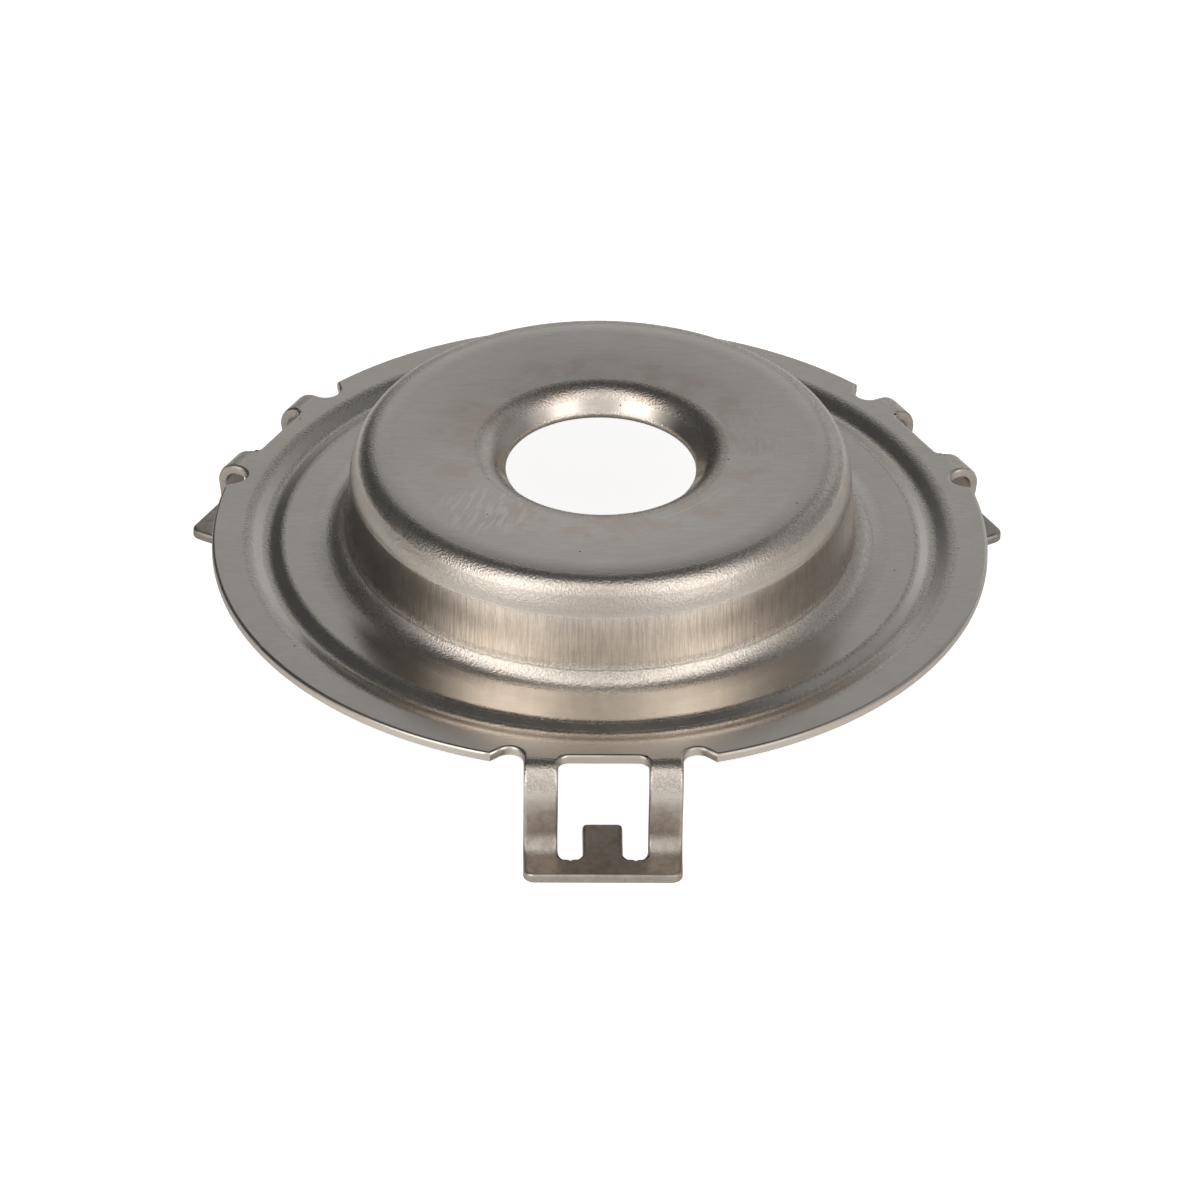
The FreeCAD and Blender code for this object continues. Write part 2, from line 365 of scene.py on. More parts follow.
def window_outline(s, runs):
    """Right half of the window, slot and tongue outline of a tab."""
    flange_z, _, _, _, _ = levels(s)
    root = s["rim_r"] + s["leg_bulge"] - s["leg_bend"] - s["tab_flat"]
    half = s["window_w"] / 2
    corner = s["window_corner"]
    slot_r = (s["window_w"] - s["tongue_w"]) / 4
    slot_y = -(root + runs["foot_start"] - slot_r)
    line = start_line("window", (0, -root, flange_z))
    run_by((half - corner, 0, 0))
    turn_about((half - corner, -root - corner, flange_z), (0, 0, 1), math.pi / 2, 8)
    run_by((0, slot_y + root + corner, 0))
    turn_about((half - slot_r, slot_y, flange_z), (0, 0, 1), math.pi, 16)
    run_by((0, s["tongue_l"] - slot_r - s["tongue_corner"], 0))
    tip = slot_y - slot_r + s["tongue_l"]
    inner = s["tongue_w"] / 2 - s["tongue_corner"]
    turn_about((inner, tip - s["tongue_corner"], flange_z), (0, 0, 1), -math.pi / 2, 5)
    run_by((-inner, 0, 0))
    return line


def mirrored_outline(half):
    """Complete a half outline with its mirror image across the tab's middle."""
    edit(half)
    bpy.ops.mesh.select_all(action="SELECT")
    bpy.ops.mesh.duplicate()
    bpy.ops.transform.resize(value=(-1, 1, 1), center_override=(0, 0, 0))
    bpy.ops.mesh.select_all(action="SELECT")
    bpy.ops.mesh.remove_doubles(threshold=0.001)
    deselect_all()
    return half


def joined(pieces):
    """Join the pieces into the first one."""
    deselect_all()
    for piece in pieces:
        piece.select_set(True)
    bpy.context.view_layer.objects.active = pieces[0]
    bpy.ops.object.join()
    return bpy.context.object


def flat_sector(s, runs):
    """A third of the flat band with one unfolded tab, pierced and edged with a narrow strip."""
    flange_z = levels(s)[0]
    outer = mirrored_outline(outer_outline(s, runs))
    window = mirrored_outline(window_outline(s, runs))
    sixth = math.pi / 3
    inner_r = band_start(s)
    ring = start_line("ring", (inner_r * math.sin(sixth), -inner_r * math.cos(sixth), flange_z))
    turn_about((0, 0, flange_z), (0, 0, 1), 2 * sixth, s["steps"] // 3)
    pick(ring, lambda shape: [min(shape.verts, key=lambda v: v.co.x)])
    side = s["rim_r"] - inner_r
    run_by((-side * math.sin(sixth), -side * math.cos(sixth), 0))
    pick(ring, lambda shape: [max(shape.verts, key=lambda v: v.co.x)])
    run_by((side * math.sin(sixth), -side * math.cos(sixth), 0))
    sector = joined([outer, window, ring])
    edit(sector)
    bpy.ops.mesh.select_all(action="SELECT")
    bpy.ops.mesh.remove_doubles(threshold=0.002)
    bpy.ops.mesh.select_all(action="SELECT")
    bpy.ops.mesh.fill(use_beauty=True)
    face_up(sector)
    bpy.ops.mesh.select_mode(type="FACE")
    bpy.ops.mesh.select_all(action="SELECT")
    bpy.ops.mesh.inset(thickness=EDGE_STRIP, use_boundary=True, use_even_offset=True)
    bpy.ops.mesh.select_mode(type="VERT")
    return sector


def face_up(sheet):
    """Turn all faces of the open sheet the same way, with the flat band facing up."""
    bpy.ops.mesh.select_all(action="SELECT")
    bpy.ops.mesh.normals_make_consistent(inside=False)
    shape = bmesh.from_edit_mesh(sheet.data)
    flat = max(shape.faces, key=lambda face: abs(face.normal.z) * face.calc_area())
    if flat.normal.z < 0:
        bpy.ops.mesh.flip_normals()


def fold_rows(runs, s):
    """Distance along the strip and turn of each fold row; support rows turn by nothing."""
    rows = []
    bends = ((s["tab_flat"], runs["leg_chord"], -1), (runs["foot_bend_start"], runs["foot_chord"], 1))
    for start, chord, side in bends:
        for k in range(runs["steps"] + 1):
            share = 0.5 if k in (0, runs["steps"]) else 1.0
            rows.append((start + k * chord, side * share * runs["angle"] / runs["steps"]))
    rows.append((runs["leg_start"] + SUPPORT, 0.0))
    rows.append((runs["foot_bend_start"] - SUPPORT, 0.0))
    rows.append((runs["foot_start"] + SUPPORT, 0.0))
    return sorted(rows)


def fold_tab(sector, s, runs):
    """Cut the fold rows into the flat tab, then fold it from its foot back to its root."""
    flange_z, _, fold_r, _, _ = levels(s)
    root = fold_r - s["tab_flat"]
    rows = fold_rows(runs, s)
    edit(sector)
    for reach, _ in rows:
        bpy.ops.mesh.select_all(action="SELECT")
        bpy.ops.mesh.bisect(plane_co=(0, -root - reach, 0), plane_no=(0, 1, 0), threshold=1e-4)
    shape = bmesh.from_edit_mesh(sector.data)
    bend = shape.verts.layers.float.new("bend")
    far = shape.verts.layers.float.new("reach")
    tongue_x = s["tongue_w"] / 2 + (s["window_w"] - s["tongue_w"]) / 4
    for vert in shape.verts:
        vert[far] = -vert.co.y - root
        if abs(vert.co.x) < tongue_x - 1e-3 and vert[far] > runs["leg_start"]:
            vert[far] = max(vert[far], runs["foot_start"] + SUPPORT)
        in_fold = s["tab_flat"] + 1e-3 < vert[far] < runs["leg_start"] - 1e-3
        in_heel = runs["foot_bend_start"] + 1e-3 < vert[far] < runs["foot_start"] - 1e-3
        vert[bend] = 1.0 if in_fold or in_heel else 0.0
    bmesh.update_edit_mesh(sector.data)
    for reach, turn in reversed(rows):
        if turn:
            pick(sector, lambda shape: [v for v in shape.verts if v[shape.verts.layers.float["reach"]] > reach + 1e-3])
            bpy.ops.transform.rotate(value=turn, orient_axis="X", center_override=(0, -root - reach, flange_z))
    deselect_all()


def around(sector, count):
    """Copies of the sector turned about the bore axis."""
    turned = [sector]
    for k in range(1, count):
        deselect_all()
        sector.select_set(True)
        bpy.context.view_layer.objects.active = sector
        bpy.ops.object.duplicate()
        copy = bpy.context.object
        edit(copy)
        bpy.ops.mesh.select_all(action="SELECT")
        bpy.ops.transform.rotate(value=2 * math.pi * k / count, orient_axis="Z", center_override=(0, 0, 0))
        deselect_all()
        turned.append(copy)
    return turned


def thickened(sheet, s):
    """Give the open upper face its sheet thickness and round its sheared edges."""
    count = len(sheet.data.vertices)
    deselect_all()
    sheet.select_set(True)
    bpy.context.view_layer.objects.active = sheet
    wall = sheet.modifiers.new("thickness", "SOLIDIFY")
    wall.thickness = s["sheet"]
    wall.offset = -1.0
    wall.use_even_offset = True
    wall.use_quality_normals = True
    bpy.ops.object.modifier_apply(modifier=wall.name)
    edit(sheet)
    bpy.ops.mesh.select_mode(type="EDGE")
    sheared = ((True, s["shear_roll"], 3), (False, s["burr_roll"], 1))
    chosen = {}
    shape = bmesh.from_edit_mesh(sheet.data)
    side_of = shape.edges.layers.int.new("side")
    for edge in shape.edges:
        tops = [vert.index < count for vert in edge.verts]
        borders = any(len({vert.index < count for vert in face.verts}) == 2 for face in edge.link_faces)
        edge[side_of] = (1 if all(tops) else 2 if not any(tops) else 0) if borders else 0
    cut = shape.faces.layers.float.new("cut")
    for face in shape.faces:
        face[cut] = 1.0 if len({vert.index < count for vert in face.verts}) == 2 else 0.0
    bmesh.update_edit_mesh(sheet.data)
    for mark, (_, roll, segments) in enumerate(sheared, 1):
        pick(sheet, lambda shape: [e for e in shape.edges if e[shape.edges.layers.int["side"]] == mark])
        bpy.ops.mesh.bevel(offset=roll, segments=segments, affect="EDGES", clamp_overlap=False)
    deselect_all()


class SteelLook(bpy.types.PropertyGroup):
    """Colour and gloss of the pressed steel."""

    colour: FloatVectorProperty(name="Steel colour", description="Colour of the clean sheet",
                                default=(0.70, 0.65, 0.59), size=3, subtype="COLOR", min=0.0, max=1.0)
    stain: FloatVectorProperty(name="Stain colour", description="Colour of the faint brown patches",
                               default=(0.66, 0.595, 0.53), size=3, subtype="COLOR", min=0.0, max=1.0)
    warm_ring: FloatVectorProperty(name="Ring colour", description="Pinkish brown tint near the collar",
                                   default=(0.66, 0.56, 0.48), size=3, subtype="COLOR", min=0.0, max=1.0)
    # This colour is also used for painted shade: the band above the wall, the legs and feet, the line at the wall's
    # foot and the bends' speckle.
    shade: FloatVectorProperty(name="Grain colour", description="Colour in the hollows of the grain and lines",
                               default=(0.36, 0.32, 0.28), size=3, subtype="COLOR", min=0.0, max=1.0)
    rub: FloatVectorProperty(name="Rub colour", description="Colour of the pale rub marks",
                             default=(0.80, 0.75, 0.69), size=3, subtype="COLOR", min=0.0, max=1.0)
    pit: FloatVectorProperty(name="Pit colour", description="Colour of the tiny pits",
                             default=(0.09, 0.08, 0.075), size=3, subtype="COLOR", min=0.0, max=1.0)
    roughness: FloatProperty(name="Roughness", description="Roughness of the rolled sheet",
                             default=0.22, min=0.0, max=1.0)
    grain: length("Grain depth", "Depth of the orange peel on the bends", 0.040)
    lines: length("Draw line depth", "Depth of the upright draw lines on the wall", 0.016)
    roll_depth: length("Roll line depth", "Depth of the fine lines of the rolled sheet", 0.002)
    pit_depth: length("Pit depth", "Depth of the pits and of the line around the wall", 0.02)


def add(tree, kind, inputs=None, **settings):
    """New shader node; an input is a plain value or another node's output."""
    made = tree.nodes.new(kind)
    for key, value in settings.items():
        setattr(made, key, value)
    for key, value in (inputs or {}).items():
        if isinstance(value, bpy.types.NodeSocket):
            tree.links.new(value, made.inputs[key])
        else:
            made.inputs[key].default_value = value
    return made


def maths(tree, operation, a, b=0.0, clamp=False):
    """Output of a Math node."""
    return add(tree, "ShaderNodeMath", {0: a, 1: b}, operation=operation, use_clamp=clamp).outputs[0]


def ramp(tree, value, low, high, start=0.0, stop=1.0):
    """Smooth change from start to stop while the value goes from low to high."""
    inputs = {"Value": value, "From Min": low, "From Max": high, "To Min": start, "To Max": stop}
    return add(tree, "ShaderNodeMapRange", inputs, interpolation_type="SMOOTHSTEP").outputs["Result"]


def window(tree, value, low, high, soft):
    """One between low and high, falling to nought over the soft distance outside."""
    rise = ramp(tree, value, low - soft, low)
    fall = ramp(tree, value, high, high + soft, 1.0, 0.0)
    return maths(tree, "MULTIPLY", rise, fall)


def noise(tree, vector, scale, detail=2.0, rough=0.5):
    """Height of a noise pattern, about 0 to 1."""
    inputs = {"Vector": vector, "Scale": scale, "Detail": detail, "Roughness": rough}
    return add(tree, "ShaderNodeTexNoise", inputs).outputs["Fac"]


def scaled(tree, vector, factors):
    """The vector multiplied part by part."""
    return add(tree, "ShaderNodeVectorMath", {0: vector, 1: factors}, operation="MULTIPLY").outputs[0]


def blended(tree, factor, first, second, blend_type="MIX"):
    """Colour between the first and the second; each is a colour or another node's output."""
    mix = add(tree, "ShaderNodeMix", {0: factor}, data_type="RGBA", blend_type=blend_type)
    for socket, value in ((mix.inputs[6], first), (mix.inputs[7], second)):
        if isinstance(value, bpy.types.NodeSocket):
            tree.links.new(value, socket)
        else:
            socket.default_value = (*value, 1)
    return mix.outputs[2]


def bumped(tree, height, depth, under=None):
    """Normal with the height pressed into the surface, over the bumps already there."""
    inputs = {"Height": height, "Distance": depth, "Strength": 1.0}
    if under is not None:
        inputs["Normal"] = under
    return add(tree, "ShaderNodeBump", inputs).outputs[0]


def surface_places(tree, s):
    """Where a point lies on the plate: in millimetres, by radius, heading and zone."""
    flange_z, cup_r, _, _, _ = levels(s)
    place = scaled(tree, add(tree, "ShaderNodeTexCoord").outputs["Object"], (1 / MM,) * 3)
    flat = scaled(tree, place, (1, 1, 0))
    radius = add(tree, "ShaderNodeVectorMath", {0: flat}, operation="LENGTH").outputs["Value"]
    heading = add(tree, "ShaderNodeVectorMath", {0: flat}, operation="NORMALIZE").outputs[0]
    parts = add(tree, "ShaderNodeSeparateXYZ", {0: place}).outputs
    by_radius = window(tree, radius, cup_r - 1.0, cup_r + 0.45, 0.15)
    wall = maths(tree, "MULTIPLY", by_radius, window(tree, parts["Z"], flange_z + 1.7, s["lip_depth"] - 3.2, 0.5))
    top = window(tree, parts["Z"], s["lip_depth"] - 0.9, s["lip_depth"] + 0.5, 0.3)
    bent = add(tree, "ShaderNodeAttribute", attribute_name="bend").outputs["Fac"]
    run_out = window(tree, parts["Z"], s["lip_depth"] - 2.4, s["lip_depth"] - 0.7, 0.4)
    run_out = maths(tree, "MULTIPLY", run_out, ramp(tree, radius, cup_r - 1.7, cup_r - 1.3, 0.0, 0.85))
    bent = maths(tree, "MAXIMUM", bent, run_out)
    cut = add(tree, "ShaderNodeAttribute", attribute_name="cut").outputs["Fac"]
    return {"place": place, "flat": flat, "cut": cut, "radius": radius, "heading": heading, "z": parts["Z"], "x": parts["X"],
            "y": parts["Y"], "wall": wall, "top": top, "bent": bent, "cup_r": cup_r}


def rolled_lines(tree, at):
    """Fine parallel lines of the rolled sheet."""
    return noise(tree, scaled(tree, at["place"], (0.16, 1.0, 1.0)), 4.5, 3.0, 0.65)


def spot(tree, at, centre, reach):
    """One near a place on the plate, falling to nought at the reach."""
    away = add(tree, "ShaderNodeVectorMath", {0: at["flat"], 1: (*centre, 0)}, operation="DISTANCE").outputs["Value"]
    return ramp(tree, away, reach * 0.4, reach, 1.0, 0.0)


def slanted(tree, at, heading, along, across):
    """Flat coordinates turned to a heading and stretched."""
    turned = add(tree, "ShaderNodeVectorRotate", {"Vector": at["flat"], "Angle": math.radians(heading)},
                 rotation_type="Z_AXIS").outputs[0]
    return scaled(tree, turned, (along, across, 0))


def rub_marks(tree, at):
    """Short pale rub marks left of the bore, arcs right of it and one long fine scratch."""
    short = ramp(tree, noise(tree, slanted(tree, at, -70, 0.45, 2.3), 1.0, 1.0, 0.5), 0.50, 0.60)
    short = maths(tree, "MULTIPLY", short, spot(tree, at, (-9.6, -9.6), 5.0))
    arcs_at = add(tree, "ShaderNodeVectorMath", {0: scaled(tree, at["heading"], (9, 9, 0)),
                  1: add(tree, "ShaderNodeCombineXYZ", {"Z": maths(tree, "MULTIPLY", at["radius"], 5.0)}).outputs[0]},
                  operation="ADD").outputs[0]
    arcs = ramp(tree, noise(tree, arcs_at, 0.8, 2.0, 0.6), 0.50, 0.68)
    arcs = maths(tree, "MULTIPLY", arcs, spot(tree, at, (11.5, 2.5), 6.5))
    scratch = maths(tree, "MULTIPLY", window(tree, at["radius"], 11.55, 11.6, 0.06),
                    spot(tree, at, (7.5, -8.8), 5.0))
    marks = maths(tree, "ADD", short, maths(tree, "MULTIPLY", arcs, 0.5))
    marks = maths(tree, "ADD", marks, maths(tree, "MULTIPLY", scratch, 0.8), clamp=True)
    return maths(tree, "MULTIPLY", marks, at["top"])


def painted_shade_zones(tree, at, s):
    """Painted shade: where the sheet's colour is darkened, on a band above the wall and on the legs and feet, blotchy
    there.
    """
    flange_z = levels(s)[0]
    # Painted shade on the band just above the wall.
    collar = maths(tree, "MULTIPLY", window(tree, at["z"], -0.1, 1.3, 0.35),
                   ramp(tree, at["radius"], at["cup_r"] - 0.8, at["cup_r"] - 0.5))
    blotches = noise(tree, at["place"], 1.1, 4.0, 0.75)
    # Painted shade on the legs and feet, stronger and weaker in blotches.
    legs = ramp(tree, at["z"], flange_z - 4.4, flange_z - 2.0, 1.0, 0.0)
    legs = maths(tree, "MULTIPLY", legs, ramp(tree, blotches, 0.32, 0.64, 1.55, 0.85))
    return maths(tree, "MAXIMUM", maths(tree, "MULTIPLY", collar, 0.55), legs)


def draw_lines(tree, at):
    """Upright lines that the die leaves on the wall of the cup."""
    around_wall = scaled(tree, at["heading"], (at["cup_r"],) * 2 + (0,))
    upright = add(tree, "ShaderNodeCombineXYZ", {"Z": maths(tree, "MULTIPLY", at["z"], 0.04)}).outputs[0]
    lines_at = add(tree, "ShaderNodeVectorMath", {0: around_wall, 1: upright}, operation="ADD").outputs[0]
    return noise(tree, lines_at, 7.0, 3.0, 0.8)


def die_lines(tree, at, s):
    """Step around the wall where the die's edge stood, and a thin line at the wall's foot: a shallow groove, painted
    dark in the colour as a painted reflection.
    """
    wave = maths(tree, "MULTIPLY", noise(tree, at["flat"], 0.9, 1.0, 0.5), -0.25)
    level = maths(tree, "ADD", at["z"], wave)
    step_z = s["lip_depth"] - 3.0
    foot_z = levels(s)[0] + 1.15
    on_wall = maths(tree, "MULTIPLY", ramp(tree, at["radius"], at["cup_r"] - 0.6, at["cup_r"] - 0.4),
                    ramp(tree, at["radius"], at["cup_r"] + 0.7, at["cup_r"] + 0.9, 1.0, 0.0))
    step = maths(tree, "MULTIPLY", ramp(tree, level, step_z - 0.15, step_z + 0.15, 0.0, 0.35), on_wall)
    # Thin line at the wall's foot: a shallow groove in the bump, and a painted dark reflection in the colour.
    foot = maths(tree, "MULTIPLY", window(tree, level, foot_z - 0.03, foot_z + 0.03, 0.07), on_wall)
    return step, foot


def pits(tree, at):
    """A few tiny dark pits."""
    cells = add(tree, "ShaderNodeTexVoronoi", {"Vector": at["place"], "Scale": 0.55, "Randomness": 1.0})
    speck = ramp(tree, cells.outputs["Distance"], 0.025, 0.055, 1.0, 0.0)
    code = add(tree, "ShaderNodeSeparateColor", {0: cells.outputs["Color"]}).outputs[0]
    return maths(tree, "MULTIPLY", speck, ramp(tree, code, 0.66, 0.68))


def steel_colour(tree, at, look, painted_shade, grain, lines, foot, specks):
    """Warm grey steel with broad tints, a pinkish ring near the collar and speckled bends, with painted shade on the
    band above the wall, the legs and the feet, a painted dark reflection at the wall's foot and painted shade in the
    bends' speckle.
    """
    broad = noise(tree, at["place"], 0.16, 3.0, 0.6)
    near_bore = window(tree, at["radius"], 9.5, 13.0, 2.5)
    patchy = ramp(tree, noise(tree, at["place"], 0.33, 3.0, 0.65), 0.40, 0.66)
    warm = maths(tree, "MULTIPLY", maths(tree, "MULTIPLY", near_bore, patchy), 0.85)
    colour = blended(tree, ramp(tree, broad, 0.35, 0.7, 0.0, 0.6), look.colour, look.stain)
    colour = blended(tree, maths(tree, "MULTIPLY", warm, at["top"]), colour, look.warm_ring)
    # Painted shade: the band above the wall, the legs and the feet are darkened in colour.
    colour = blended(tree, maths(tree, "MULTIPLY", painted_shade, 0.62), colour, look.shade)
    satin = ramp(tree, rolled_lines(tree, at), 0.35, 0.65, 0.10, 0.0)
    colour = blended(tree, satin, colour, look.shade)
    colour = blended(tree, maths(tree, "MULTIPLY", rub_marks(tree, at), 0.6), colour, look.rub)
    # Speckled grain on the bends, with painted shade: its hollows are darkened in colour to stand in for the bends'
    # sparkle.
    speckle = ramp(tree, grain, 0.36, 0.62)
    shade = maths(tree, "MULTIPLY", at["bent"], ramp(tree, speckle, 0.0, 1.0, 0.42, 0.0))
    colour = blended(tree, shade, colour, look.shade)
    streak = maths(tree, "MULTIPLY", ramp(tree, lines, 0.40, 0.58, 0.45, 0.0), at["wall"])
    colour = blended(tree, streak, colour, look.shade)
    # Painted reflection: the dark line round the wall's foot.
    colour = blended(tree, maths(tree, "MULTIPLY", foot, 0.6), colour, look.shade)
    colour = blended(tree, maths(tree, "MULTIPLY", at["cut"], 0.55), colour, look.shade)
    return blended(tree, maths(tree, "MULTIPLY", specks, 0.8), colour, look.pit)


def pressed_steel(look, s):
    """Rolled sheet with orange peel on its bends, draw lines on its wall, pits, tints and painted shade."""
    steel = bpy.data.materials.new("pressed_steel")
    steel.use_nodes = True
    tree = steel.node_tree
    shader = tree.nodes["Principled BSDF"]
    at = surface_places(tree, s)
    grain = noise(tree, at["place"], 5.5, 1.5, 0.6)
    lines = draw_lines(tree, at)
    specks = pits(tree, at)
    step, foot = die_lines(tree, at, s)
    shader.inputs["Metallic"].default_value = 1.0
    # Mask of the painted shade on the band above the wall, the legs and the feet, which are also made rougher.
    painted_shade = painted_shade_zones(tree, at, s)
    tree.links.new(steel_colour(tree, at, look, painted_shade, grain, lines, foot, specks), shader.inputs["Base Color"])
    worn = noise(tree, at["place"], 0.5, 3.0, 0.6)
    rough = maths(tree, "ADD", maths(tree, "MULTIPLY", worn, 0.10), look.roughness - 0.05)
    rough = maths(tree, "ADD", rough, maths(tree, "MULTIPLY", at["bent"], 0.06))
    rough = maths(tree, "ADD", rough, maths(tree, "MULTIPLY", painted_shade, 0.10))
    rough = maths(tree, "ADD", rough, maths(tree, "MULTIPLY", at["cut"], 0.16))
    rough = maths(tree, "ADD", rough, maths(tree, "MULTIPLY", specks, 0.3))
    tree.links.new(rough, shader.inputs["Roughness"])
    share = maths(tree, "ADD", maths(tree, "MULTIPLY", at["bent"], 0.93), 0.07)
    peel = maths(tree, "MULTIPLY", maths(tree, "SUBTRACT", grain, 0.5), share)
    drawn = maths(tree, "MULTIPLY", maths(tree, "SUBTRACT", lines, 0.5), at["wall"])
    normal = bumped(tree, peel, look.grain)
    normal = bumped(tree, drawn, look.lines, normal)
    normal = bumped(tree, rolled_lines(tree, at), look.roll_depth, normal)
    normal = bumped(tree, maths(tree, "ADD", maths(tree, "ADD", specks, step), foot), -look.pit_depth, normal)
    tree.links.new(normal, shader.inputs["Normal"])
    return steel


class INJECTOR_OT_plate(bpy.types.Operator):
    """Draw, spin, cut and fold the sheet of the plate"""

    bl_idname = "injector.plate"
    bl_label = "Pressed plate"

    def execute(self, context):
        s = millimetres(context.scene.injector_sizes)
        runs = strip_runs(s)
        cup = spun_cup(s)
        sector = flat_sector(s, runs)
        fold_tab(sector, s, runs)
        sheet = joined([cup] + around(sector, 3))
        edit(sheet)
        bpy.ops.mesh.select_all(action="SELECT")
        bpy.ops.mesh.remove_doubles(threshold=0.002)
        face_up(sheet)
        deselect_all()
        sheet.data.attributes.remove(sheet.data.attributes["reach"])
        thickened(sheet, s)
        sheet.name = "plate_skin"
        deselect_all()
        sheet.select_set(True)
        bpy.context.view_layer.objects.active = sheet
        sheet.scale = (MM, MM, MM)
        bpy.ops.object.transform_apply(scale=True)
        bpy.ops.object.shade_smooth_by_angle(angle=math.radians(40))
        flats = sheet.modifiers.new("flats", "WEIGHTED_NORMAL")
        flats.keep_sharp = True
        bpy.ops.object.modifier_apply(modifier=flats.name)
        sheet.data.materials.clear()
        sheet.data.materials.append(pressed_steel(context.scene.injector_steel, s))
        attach(sheet, "root")
        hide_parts("plate")
        return {"FINISHED"}


class StudioLook(bpy.types.PropertyGroup):
    """Camera, floor and lights."""

    orbit: slope("Orbit", "Turn of the camera about the bore axis", -1.03)
    rise: slope("Rise", "Height of the camera above the horizon", 34.77)
    roll: slope("Roll", "Roll of the camera", 0.82)
    distance: length("Distance", "Distance from the camera to its target", 690.84)
    lens: FloatProperty(name="Focal length", description="Focal length in millimetres",
                        default=242.36, min=1.0, unit="CAMERA")
    floor_size: length("Floor size", "Side of the square floor", 12000)
    floor_colour: FloatVectorProperty(name="Floor colour", description="Colour of the floor",
                                      default=(0.8, 0.8, 0.8), size=3, subtype="COLOR", min=0.0, max=1.0)
    floor_glow: FloatProperty(name="Floor glow", description="Light of the floor itself, seen but not cast",
                              default=0.80, min=0.0, max=1.0)
    far_glow: FloatProperty(name="Far glow", description="Light of the floor further away",
                            default=0.20, min=0.0, max=1.0)
    front_share: FloatProperty(name="Front share", description="Share of the glow that the floor in front mirrors",
                               default=0.45, min=0.0, max=1.0)
    rear_share: FloatProperty(name="Rear share", description="Share of the glow that the floor behind mirrors",
                              default=0.12, min=0.0, max=1.0)
    pool_r: length("Pool radius", "Radius of the two pools of light on the floor in front", 34)
    white_r: length("White radius", "How far the floor stays white around the plate", 115)
    shade_reach: length("Shade reach", "How far the plate shades the floor's glow", 30)
    room: FloatProperty(name="Room level", description="Light of the dark room around the panels",
                        default=0.07, min=0.0, max=1.0)


TARGET = Vector((0.0849, 0.0, -13.25)) * MM
LIGHT_POOLS = (((-36.0, -42.0), 0.55), ((36.0, -42.0), 0.30))


def photo_camera(look):
    """Camera at the photograph's angle, a little rolled."""
    across, along = math.cos(look.orbit), math.sin(look.orbit)
    level, height = math.cos(look.rise), math.sin(look.rise)
    back = Vector((along * level, -across * level, height))
    right = Vector((0, 0, 1)).cross(back).normalized()
    up = back.cross(right)
    turn = Matrix.Rotation(look.roll, 3, back)
    axes = Matrix((turn @ right, turn @ up, back)).transposed()
    camera = bpy.data.objects.new("photo_camera", bpy.data.cameras.new("photo_camera"))
    bpy.context.scene.collection.objects.link(camera)
    camera.matrix_world = Matrix.Translation(TARGET + look.distance * back) @ axes.to_4x4()
    camera.data.sensor_width = 36.0
    camera.data.lens = look.lens
    camera.data.clip_start = 0.05
    camera.data.clip_end = 10.0
    bpy.context.scene.camera = camera


LIGHT_PANELS = {
    "front_wall": {"centre": 0, "width": 164, "side": 34, "low": -8, "high": 82, "soft": 18, "level": 0.42},
    "front_top": {"centre": 0, "width": 130, "side": 40, "low": 0, "high": 86, "soft": 10, "level": 0.38},
    "left_softbox": {"centre": -45, "width": 36, "side": 12, "low": -4, "high": 72, "soft": 14, "level": 1.25},
    "right_softbox": {"centre": 44, "width": 32, "side": 12, "low": -4, "high": 70, "soft": 14, "level": 1.05},
    "right_wall": {"centre": 108, "width": 76, "side": 24, "low": -5, "high": 62, "soft": 16, "level": 0.23},
    "back_screen": {"centre": 168, "width": 52, "side": 20, "low": 5, "high": 39, "soft": 30, "level": 0.50},
}
FRONT_LIGHT = (1.0, 0.98, 0.95)
BACK_LIGHT = (0.95, 0.975, 0.99)


def light_panel(tree, ray, panel):
    """Brightness of one soft-edged panel of light, seen along the ray."""
    centre = math.radians(panel["centre"])
    half, side = math.radians(panel["width"] / 2), math.radians(panel["side"] / 2)
    soft = math.radians(panel["soft"] / 2)
    low, high = math.radians(panel["low"]), math.radians(panel["high"])
    ahead = add(tree, "ShaderNodeVectorMath", {0: ray["flat"], 1: (math.sin(centre), -math.cos(centre), 0)},
                operation="DOT_PRODUCT").outputs["Value"]
    across = ramp(tree, ahead, math.cos(half + side), math.cos(half - side), 0.0, panel["level"])
    above = ramp(tree, ray["rise"], low - soft, low + soft)
    below = ramp(tree, ray["rise"], high - soft, high + soft, 1.0, 0.0)
    return maths(tree, "MULTIPLY", across, maths(tree, "MULTIPLY", above, below))


def studio_air(look):
    """World with soft panels of light around the camera and a dim room behind."""
    world = bpy.data.worlds.new("studio_air")
    world.use_nodes = True
    world.cycles.sampling_method = "NONE"
    tree = world.node_tree
    air = tree.nodes["Background"]
    seen = add(tree, "ShaderNodeTexCoord").outputs["Generated"]
    flat = scaled(tree, seen, (1, 1, 0))
    ray = {
        "flat": add(tree, "ShaderNodeVectorMath", {0: flat}, operation="NORMALIZE").outputs[0],
        "rise": maths(tree, "ARCSINE", add(tree, "ShaderNodeSeparateXYZ", {0: seen}).outputs["Z"]),
    }
    level = look.room
    for panel in LIGHT_PANELS.values():
        level = maths(tree, "ADD", light_panel(tree, ray, panel), level)
    behind = add(tree, "ShaderNodeSeparateXYZ", {0: ray["flat"]}).outputs["Y"]
    tree.links.new(blended(tree, ramp(tree, behind, -0.3, 0.3), FRONT_LIGHT, BACK_LIGHT), air.inputs["Color"])
    tree.links.new(level, air.inputs["Strength"])
    bpy.context.scene.world = world


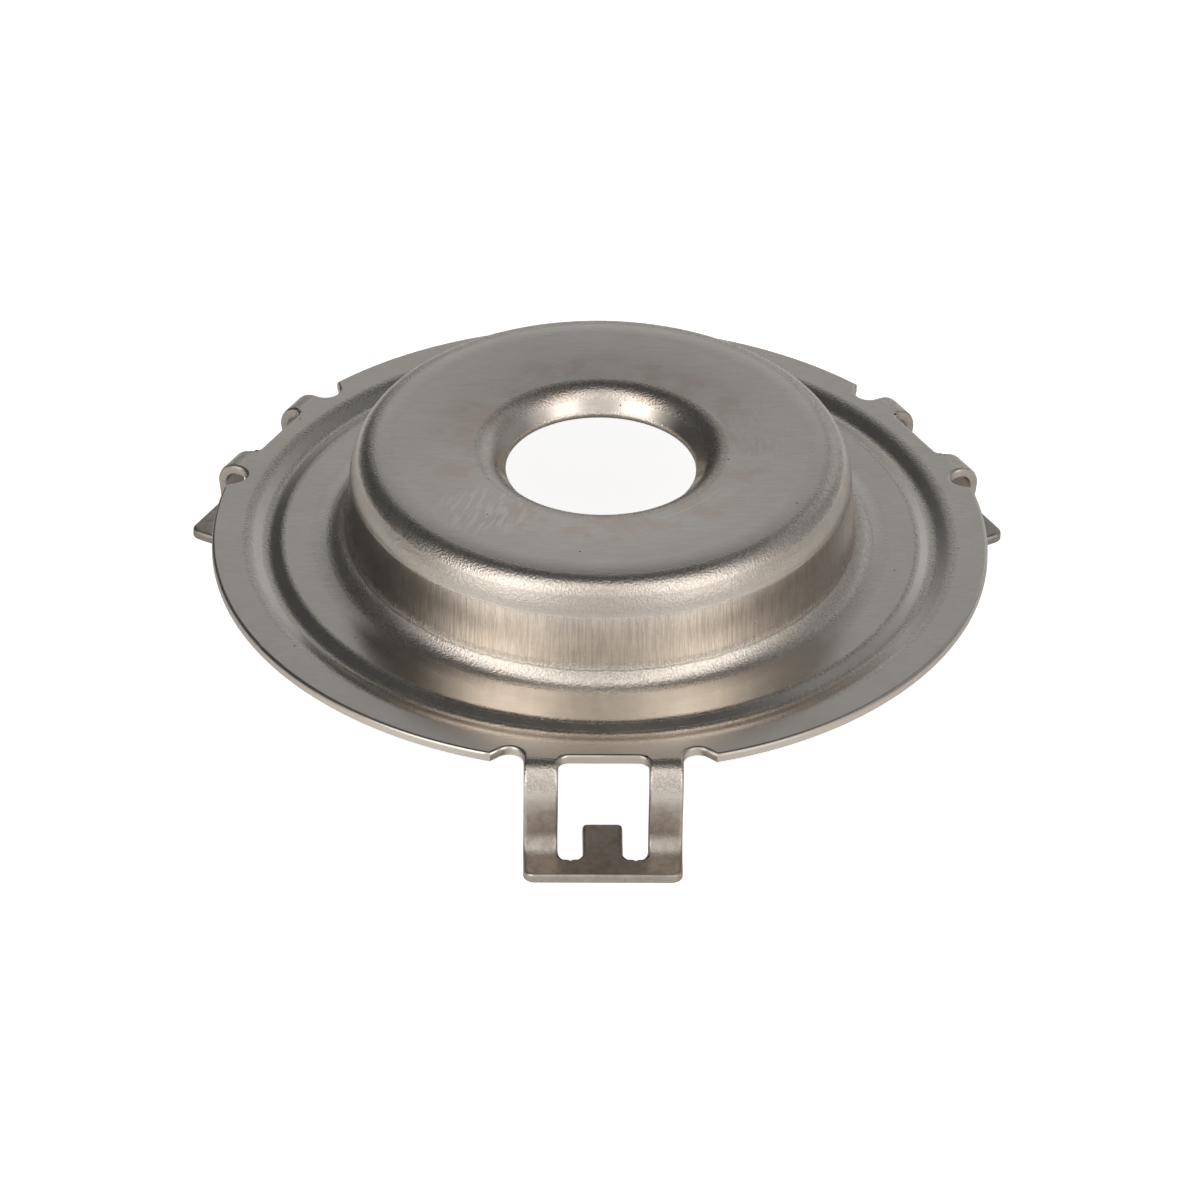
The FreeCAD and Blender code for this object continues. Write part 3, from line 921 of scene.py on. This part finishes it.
def pale_floor(look):
    """Pale floor under the feet, whitest around the plate, shaded where the plate covers it."""
    deselect_all()
    bpy.ops.mesh.primitive_plane_add(size=look.floor_size, location=(0, 0, CAD_BOX[0][2] - 0.02 * MM))
    floor = bpy.context.object
    floor.name = "floor"
    paint = bpy.data.materials.new("floor_paint")
    paint.use_nodes = True
    tree = paint.node_tree
    shader = tree.nodes["Principled BSDF"]
    shader.inputs["Base Color"].default_value = (*look.floor_colour, 1)
    shader.inputs["Roughness"].default_value = 0.9
    shader.inputs["Specular IOR Level"].default_value = 0.0
    shader.inputs["Emission Color"].default_value = (1, 1, 1, 1)
    place = add(tree, "ShaderNodeTexCoord").outputs["Object"]
    away = add(tree, "ShaderNodeVectorMath", {0: place}, operation="LENGTH").outputs["Value"]
    glow = ramp(tree, away, look.white_r, 1.4 * look.white_r, look.floor_glow, look.far_glow)
    behind = add(tree, "ShaderNodeSeparateXYZ", {0: place}).outputs["Y"]
    dim = ramp(tree, behind, -look.shade_reach, look.shade_reach, look.front_share, look.rear_share)
    for (x, y), level in LIGHT_POOLS:
        pool = Vector((x, y, 0)) * MM
        spread = add(tree, "ShaderNodeVectorMath", {0: place, 1: pool}, operation="DISTANCE").outputs["Value"]
        dim = maths(tree, "ADD", dim, ramp(tree, spread, 0.0, look.pool_r, level, 0.0))
    path = add(tree, "ShaderNodeLightPath").outputs
    seen = maths(tree, "ADD", path["Is Camera Ray"], path["Is Transmission Ray"], clamp=True)
    tree.links.new(maths(tree, "MULTIPLY", seen, glow), shader.inputs["Emission Strength"])
    open_sky = add(tree, "ShaderNodeAmbientOcclusion", {"Distance": look.shade_reach}, samples=4)
    mirrored = maths(tree, "MULTIPLY", maths(tree, "MULTIPLY", glow, dim), open_sky.outputs["AO"])
    shaded = add(tree, "ShaderNodeEmission", {"Strength": mirrored})
    both = add(tree, "ShaderNodeAddShader", {0: shader.outputs[0], 1: shaded.outputs[0]})
    mixed = add(tree, "ShaderNodeMixShader", {0: path["Is Glossy Ray"], 1: shader.outputs[0], 2: both.outputs[0]})
    tree.links.new(mixed.outputs[0], tree.nodes["Material Output"].inputs["Surface"])
    floor.data.materials.append(paint)


class INJECTOR_OT_stage(bpy.types.Operator):
    """Set up the camera, the floor and the light"""

    bl_idname = "injector.stage"
    bl_label = "Studio stage"

    def execute(self, context):
        look = context.scene.injector_studio
        photo_camera(look)
        pale_floor(look)
        studio_air(look)
        context.scene.view_settings.view_transform = "Standard"
        return {"FINISHED"}


class INJECTOR_PT_sidebar(bpy.types.Panel):
    """Sidebar with the steps and settings of the plate"""

    bl_idname = "INJECTOR_PT_sidebar"
    bl_label = "Injector plate"
    bl_space_type = "VIEW_3D"
    bl_region_type = "UI"
    bl_category = "Injector plate"

    def draw(self, context):
        layout = self.layout
        layout.operator(INJECTOR_OT_plate.bl_idname)
        layout.operator(INJECTOR_OT_stage.bl_idname)
        for settings in (context.scene.injector_sizes, context.scene.injector_steel, context.scene.injector_studio):
            box = layout.box()
            for key in type(settings).__annotations__:
                box.prop(settings, key)


CLASSES = (PlateSizes, SteelLook, StudioLook, INJECTOR_OT_plate, INJECTOR_OT_stage, INJECTOR_PT_sidebar)


def register():
    """Register the classes and the settings of the scene."""
    for cls in CLASSES:
        bpy.utils.register_class(cls)
    bpy.types.Scene.injector_sizes = PointerProperty(type=PlateSizes)
    bpy.types.Scene.injector_steel = PointerProperty(type=SteelLook)
    bpy.types.Scene.injector_studio = PointerProperty(type=StudioLook)


def unregister():
    """Remove the settings and the classes."""
    del bpy.types.Scene.injector_studio
    del bpy.types.Scene.injector_steel
    del bpy.types.Scene.injector_sizes
    for cls in reversed(CLASSES):
        bpy.utils.unregister_class(cls)


def main():
    """Build everything in order."""
    register()
    bpy.ops.injector.plate()
    bpy.ops.injector.stage()


if __name__ == "__main__":
    main()
